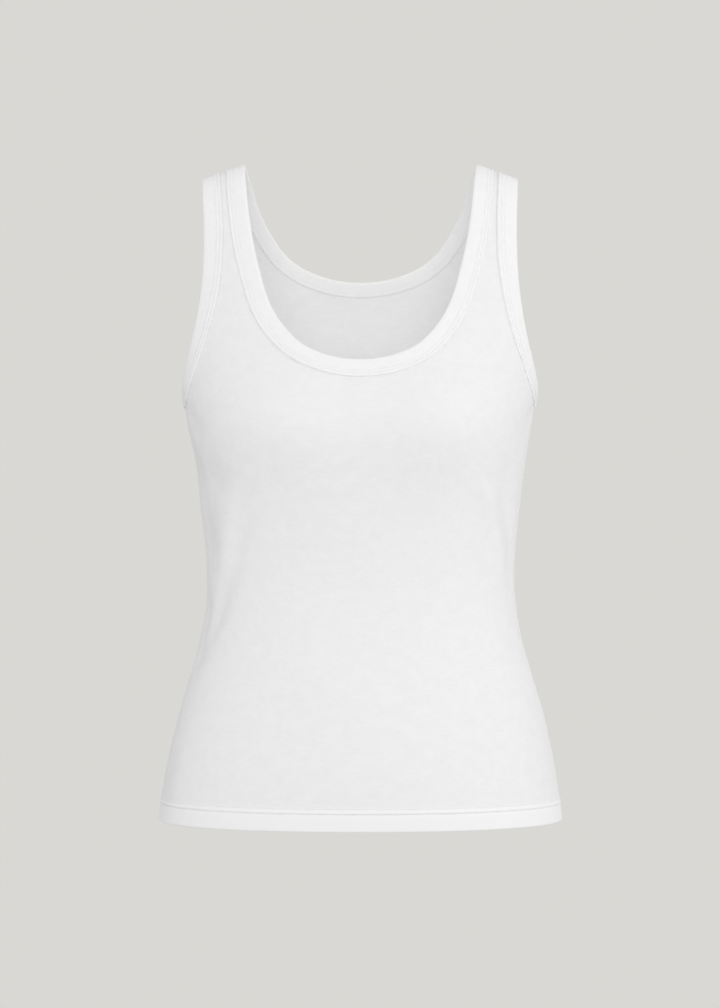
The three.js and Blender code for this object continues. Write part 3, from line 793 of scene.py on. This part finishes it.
def bindingStitches(name, edge, widths):
    make, paths = bindingMake, []
    top = make["clear"] + make["thick"]
    bottom = -clothThick - make["clear"] - make["thick"]
    for row, depth in zip(make["needleRows"], make["needleDepth"]):
        lift = top - depth + 0.6 * threadMake["radius"]
        paths += stitchPaths(*lineBeside(edge, (make["width"] - row) * widths, lift))
    for row in make["insideRows"]:
        inside = stitchPaths(*lineBeside(edge, make["insideWidth"] - row, bottom))
        paths += [(path, -up, taper) for path, up, taper in inside]
    points, faces = threadRun(paths, threadMake["radius"])
    return newPiece(name, points, faces)


neckStitches = bindingStitches("neckBindingStitches", neckEdge, neckWidths(neckEdge))
armStitchesRight = bindingStitches("armBindingStitchesRight", armEdgeRight, armWidths(armEdgeRight))
armStitchesLeft = bindingStitches("armBindingStitchesLeft", armEdgeLeft, armWidths(armEdgeLeft))


def hemStitches():
    paths = []
    rows = panelMake["needleRows"]
    for row in rows:
        paths += stitchPaths(*lineRound(row, threadMake["radius"] * 0.6 + float(hemRelief(hemDown - row))))
    # the looper thread inside zigzags over the raw edge of the turn-up
    (lowPast, lowClear), (highPast, highClear) = threadMake["looper"]
    insideLow, whole = lineRound(rows[0] + lowPast, -2 * clothThick - lowClear)
    insideHigh, wholeHigh = lineRound(rows[1] + highPast, -clothThick - highClear)
    count = int(whole / threadMake["stitch"])
    for i in range(count):
        at = np.array([i, i + 0.5, i + 1]) / count
        a, upA = insideLow(at * whole)
        b, upB = insideHigh(at * wholeHigh)
        path = np.array([a[0], mixed(a[0], b[1], 0.5), b[1], mixed(b[1], a[2], 0.5), a[2]])
        up = np.array([upA[0], upA[1], upB[1], upB[1], upA[2]])
        paths.append((path, -up, np.ones(5)))
    points, faces = threadRun(paths, threadMake["radius"], sides=4)
    return newPiece("hemStitches", points, faces)


hemThread = hemStitches()
stitchFaces = len(neckStitches.data.polygons) + len(hemThread.data.polygons)
print("stitches:", stitchFaces, "faces at the neck and hem")


# seam allowances inside, in mm
allowanceMake = {
    "width": 6.5,
    "thick": 1.7,
    "clear": 0.15,            # inside the cloth
    "ripple": 0.22,
    "loopPitch": 2.1,
    "loopRadius": 0.15,
    "loopClear": 0.1,
    # a loop of thread round the raw edges: corner of the section, and mm along the seam from its middle
    "loopPath": ((8, -0.4), (7, 0.2), (6, 0.5), (5, 0.2), (4, -0.2), (3, 0.3), (2, 0.6)),
    "sideFrom": 236,          # from under the armhole binding to just above the hem fold
    "sideEndsAbove": 1.5,
    "sideStations": 190,
    "shoulderTurns": (0.401, 0.531),      # between the neck binding and the armhole binding
    "shoulderStations": 26,
    "hemStepBelow": 2,        # it steps inward just below the edge of the turn-up
    "hemStepWide": 1.2,
}


def allowance(name, turn, down, lift):
    # the overlocked edges of both panels, pressed to the back of a seam, inside
    make = allowanceMake
    wide, thick = make["width"], make["thick"]
    section = [(0.1, 0), (1.5, -0.15), (wide * 0.6, -0.1), (wide - 0.6, 0), (wide, -0.6),
               (wide - 0.3, -thick), (wide * 0.6, -thick - 0.1), (1.6, -thick), (0.3, -thick + 0.4),
               (-0.3, -0.9)]
    backward = np.repeat([[0.0, 1.0, 0.0]], len(turn), 0)
    along = np.arange(len(turn)) * 1.0
    rows = []
    for inward, drop in section:
        movedTurn, movedDown = movedAlong(turn, down, backward * np.sign(inward), abs(inward))
        ripple = make["ripple"] * np.sin(along / 4.1 + 0.9 * np.sin(along / 9)) * max(0, inward) / wide
        rows.append(clothPoint(movedTurn, movedDown, lift + drop + ripple))
    points = np.stack(rows, 1)
    corners, stations = len(section), len(turn)
    faces = gridFaces(stations, corners, closed=True).tolist()
    faces.append(list(range(corners)))
    faces.append(list(range((stations - 1) * corners, stations * corners))[::-1])
    across = np.tile([inward for inward, _ in section], stations)
    ways = np.stack([np.repeat(along, corners), across], -1) * mm
    piece = newPiece(name, points.reshape(-1, 3), faces, ways)

    paths = []
    lengths = np.concatenate([[0], np.cumsum(np.linalg.norm(np.diff(points[:, 3], axis=0), axis=1))])
    count = int(lengths[-1] / make["loopPitch"])
    ups = directions(turn, down)[2]
    for i in range(count):
        at = (i + 0.5) / count * lengths[-1]
        path = np.array([[np.interp(at + shift, lengths, points[:, k, axis]) for axis in range(3)]
                         for k, shift in make["loopPath"]])
        up = np.array([np.interp(at, lengths, ups[:, axis]) for axis in range(3)])
        path[:4] -= up * make["loopClear"]
        path[4, 1] += make["loopRadius"]
        path[5:] += up * make["loopClear"]
        paths.append((path, np.repeat(-up[None], len(path), 0) + 0.01, np.ones(len(path))))
    loops = newPiece(name + "Thread", *threadRun(paths, make["loopRadius"], sides=4))
    return piece, loops


def sideSeam(side):
    make = allowanceMake
    down = np.linspace(make["sideFrom"], hemDown - make["sideEndsAbove"], make["sideStations"])
    turn = np.full(down.shape, side * 1.0)
    stepAt = hemDown - panelMake["hemTurnUp"] + make["hemStepBelow"]
    doubled = 1 / (1 + np.exp(-(down - stepAt) / make["hemStepWide"]))
    return allowance("sideSeam" + ("Right" if side > 0 else "Left"), turn, down,
                     -clothThick * (1 + doubled) - make["clear"])


def shoulderSeam(side):
    turn = side * np.linspace(*allowanceMake["shoulderTurns"], allowanceMake["shoulderStations"])
    return allowance("shoulderSeam" + ("Right" if side > 0 else "Left"), turn, np.zeros(turn.shape),
                     np.full(turn.shape, -clothThick - allowanceMake["clear"]))


seamPieces = [piece for side in (1, -1) for piece in (*sideSeam(side), *shoulderSeam(side))]
print("seams:", ", ".join(piece.name for piece in seamPieces))


# greys are linear; the knit's pitch is in mm, and the depth of a bump in metres
clothLook = {
    "panel": dict(light=0.884, dark=0.847, slubs=0.13, roughness=0.88),
    "binding": dict(light=0.92, dark=0.888, slubs=0.09, roughness=0.84),
    "doubledTone": 0.908,     # two layers let less light through, so the hem looks whiter
    "doubledFrom": (21.5, 18),    # above the hem fold
    "knitPitch": (0.8, 0.576),    # from one column and from one row of loops to the next
    "knitBump": (0.3, 0.00008),   # strength and depth
    "slubBump": 0.0003,
    "slubStretch": (0.2, 0.55, 1),
    "mottleSize": 0.09,
    "mottleShare": 0.45,
    "toneRange": (0.36, 0.62),
}


def emptyMaterial(name):
    # with short ways to add a node to it and to link two
    material = bpy.data.materials.new(name)
    material.use_nodes = True
    tree = material.node_tree
    tree.nodes.clear()

    def add(kind, settings=()):
        # settings go by the name of the node's own property or of its socket
        node = tree.nodes.new("ShaderNode" + kind)
        for key, value in dict(settings).items():
            if hasattr(node, key):
                setattr(node, key, value)
            else:
                node.inputs[key].default_value = value
        return node

    return material, add, tree.links.new


def grey(tone):
    return (tone, tone, tone, 1)


def jersey(name, light, dark, slubs, roughness):
    # fine plain knit: upright columns of loops, faint slubs across and a soft mottle
    look = clothLook
    material, add, link = emptyMaterial(name)
    cloth = add("BsdfPrincipled", {"Roughness": roughness, "Sheen Weight": 0.12, "Sheen Roughness": 0.6,
                                   "Specular IOR Level": 0.18})
    link(cloth.outputs[0], add("OutputMaterial").inputs[0])
    ways = add("UVMap", {"uv_map": "cloth"})
    toMm = add("Mapping", {"Scale": (1 / mm, 1 / mm, 1 / mm)})
    link(ways.outputs[0], toMm.inputs[0])

    knit = add("Math", {"operation": "MULTIPLY"})
    for k, direction in enumerate("XY"):
        waveScale = 2 * math.pi / (20 * look["knitPitch"][k])
        wave = add("TexWave", {"bands_direction": direction, "Scale": waveScale, "Distortion": 0.6,
                               "Detail": 1})
        link(toMm.outputs[0], wave.inputs[0])
        link(wave.outputs["Fac"], knit.inputs[k])

    stretched = add("Mapping", {"Scale": look["slubStretch"]})
    link(toMm.outputs[0], stretched.inputs[0])
    slub = add("TexNoise", {"Scale": 1, "Detail": 4, "Roughness": 0.6})
    link(stretched.outputs[0], slub.inputs[0])
    mottle = add("TexNoise", {"Scale": look["mottleSize"], "Detail": 4})
    link(toMm.outputs[0], mottle.inputs[0])

    both = add("Mix", {"data_type": "FLOAT"})
    both.inputs[0].default_value = look["mottleShare"]
    link(slub.outputs["Fac"], both.inputs[2])
    link(mottle.outputs["Fac"], both.inputs[3])
    ramp = add("ValToRGB")
    for step, place, shade in zip(ramp.color_ramp.elements, look["toneRange"], (dark, light)):
        step.position = place
        step.color = grey(shade)
    link(both.outputs[0], ramp.inputs[0])
    parts = add("SeparateXYZ")
    link(toMm.outputs[0], parts.inputs[0])
    fromAbove, toAbove = look["doubledFrom"]
    doubled = add("MapRange", {"From Min": -(hemDown - fromAbove), "From Max": -(hemDown - toAbove)})
    link(parts.outputs["Y"], doubled.inputs["Value"])
    tone = add("Mix", {"data_type": "RGBA", "B": grey(look["doubledTone"])})
    link(doubled.outputs[0], tone.inputs["Factor"])
    link(ramp.outputs[0], tone.inputs["A"])
    link(tone.outputs["Result"], cloth.inputs["Base Color"])

    strength, distance = look["knitBump"]
    knitBump = add("Bump", {"Strength": strength, "Distance": distance})
    link(knit.outputs[0], knitBump.inputs["Height"])
    slubBump = add("Bump", {"Strength": slubs, "Distance": look["slubBump"]})
    link(slub.outputs["Fac"], slubBump.inputs["Height"])
    link(knitBump.outputs[0], slubBump.inputs["Normal"])
    link(slubBump.outputs[0], cloth.inputs["Normal"])
    return material


# twisted sewing thread, a little glossier than the cloth
threadLook = {
    "tone": 0.9,
    "between": 0.9,           # painted shade between its strands: how dark the thread is made there
    "twist": 2600,
}


def thread(name):
    look = threadLook
    material, add, link = emptyMaterial(name)
    strand = add("BsdfPrincipled", {"Roughness": 0.62, "Sheen Weight": 0.1, "Specular IOR Level": 0.3})
    link(strand.outputs[0], add("OutputMaterial").inputs[0])
    twist = add("TexNoise", {"Scale": look["twist"], "Detail": 2})
    link(add("TexCoord").outputs["Object"], twist.inputs[0])
    # painted shade between the strands: the noise darkens the thread in small patches
    ramp = add("ValToRGB")
    ramp.color_ramp.elements[0].color = grey(look["tone"] * look["between"])
    ramp.color_ramp.elements[1].color = grey(look["tone"])
    link(twist.outputs["Fac"], ramp.inputs[0])
    link(ramp.outputs[0], strand.inputs["Base Color"])
    return material


panelJersey = jersey("panelJersey", **clothLook["panel"])
bindingJersey = jersey("bindingJersey", **clothLook["binding"])
whiteThread = thread("whiteThread")

threadPieces = [neckStitches, armStitchesRight, armStitchesLeft, hemThread]
threadPieces += [piece for piece in seamPieces if piece.name.endswith("Thread")]
clothSeams = [piece for piece in seamPieces if not piece.name.endswith("Thread")]
bindings = (neckBinding, armBindingRight, armBindingLeft)
for material, pieces in ((panelJersey, (frontPanel, backPanel, *clothSeams)), (bindingJersey, bindings),
                         (whiteThread, threadPieces)):
    for piece in pieces:
        piece.data.materials.append(material)
print("materials: panel jersey, binding jersey and thread")

# riding: the pieces ride on root, and the solids that they replace are hidden

for piece in (frontPanel, backPanel, *bindings, *threadPieces, *clothSeams):
    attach(piece, "root")
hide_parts("front_panel")
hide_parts("back_panel")
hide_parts("neck_binding")
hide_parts("armhole_binding_right")
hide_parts("armhole_binding_left")

print("pieces ride on root:", len(threadPieces) + len(clothSeams) + 5)


# stage and camera, with places in metres
studio = {
    "background": (0.694, 0.687, 0.659),   # pale warm grey, linear
    "floor": -1.35,
    "wallAt": 3.2,
    "wallTop": 5.0,
    "bend": 1.2,
    "halfWide": 7.0,
    "floorFrom": -6.0,
    "cameraPlace": (-0.00045, -2.6, -0.2967),
    "lens": 103.17,
    "world": 0.613,
    "aimAt": (0, 0, -0.3),
}

# place in metres, size of the square lamp and its power
lamps = [
    dict(name="frontSoftbox", place=(0, -3.0, 0.2), size=1.6, power=29.2),
    dict(name="rightSoftbox", place=(2.6, -0.3, 0.1), size=1.6, power=15.3),
    dict(name="leftFrontSoftbox", place=(-1.6, -2.2, 1.4), size=1.4, power=3.3),
    dict(name="leftSoftbox", place=(-2.3, -1.0, 1.3), size=1.6, power=2.0),
    dict(name="topSoftbox", place=(0, -0.1, 2.2), size=1.8, power=3.0),
    dict(name="backSoftbox", place=(1.0, 2.6, 0.9), size=1.4, power=8),
    dict(name="insideLamp", place=(0, -0.01, -0.35), size=0.1, power=0.053, aim=(0, 0.09, -0.12)),
]


def backdrop():
    # floor that curves up into a wall, in one piece
    bend, wall, wide = studio["bend"], studio["wallAt"], studio["halfWide"]
    profile = [(studio["floorFrom"], studio["floor"]), (wall - bend, studio["floor"])]
    for k in range(1, 17):
        angle = math.pi / 2 * k / 16
        up = bend * (1 - math.cos(angle))
        profile.append((wall - bend + bend * math.sin(angle), studio["floor"] + up))
    profile.append((wall, studio["wallTop"]))
    points = [(x / mm, y / mm, z / mm) for y, z in profile for x in (-wide, wide)]
    faces = [(2 * i, 2 * i + 1, 2 * i + 3, 2 * i + 2) for i in range(len(profile) - 1)]
    piece = newPiece("studioFloor", points, faces)
    material, add, link = emptyMaterial("paleBackdrop")
    glow = add("Emission", {"Color": (*studio["background"], 1)})
    link(glow.outputs[0], add("OutputMaterial").inputs[0])
    piece.data.materials.append(material)
    piece.visible_diffuse = False  # seen by the camera only, so that it tints nothing
    piece.visible_glossy = False


def softbox(name, place, size, power, aim=studio["aimAt"]):
    data = bpy.data.lights.new(name, "AREA")
    data.shape = "SQUARE"
    data.size = size
    data.energy = power
    lamp = bpy.data.objects.new(name, data)
    lamp.location = place
    lamp.rotation_euler = (Vector(aim) - Vector(place)).to_track_quat("-Z", "Y").to_euler()
    lamp.visible_camera = False
    bpy.context.collection.objects.link(lamp)


backdrop()
for lamp in lamps:
    softbox(**lamp)
print("studio:", len(lamps), "lamps")

world = bpy.data.worlds.new("studioAir")
bpy.context.scene.world = world
world.use_nodes = True
world.node_tree.nodes["Background"].inputs[0].default_value = (1, 1, 1, 1)
world.node_tree.nodes["Background"].inputs[1].default_value = studio["world"]

cameraData = bpy.data.cameras.new("camera")
cameraData.lens = studio["lens"]
camera = bpy.data.objects.new("camera", cameraData)
camera.location = studio["cameraPlace"]
camera.rotation_euler = (math.pi / 2, 0, 0)
bpy.context.collection.objects.link(camera)
bpy.context.scene.camera = camera
bpy.context.scene.view_settings.view_transform = "Standard"
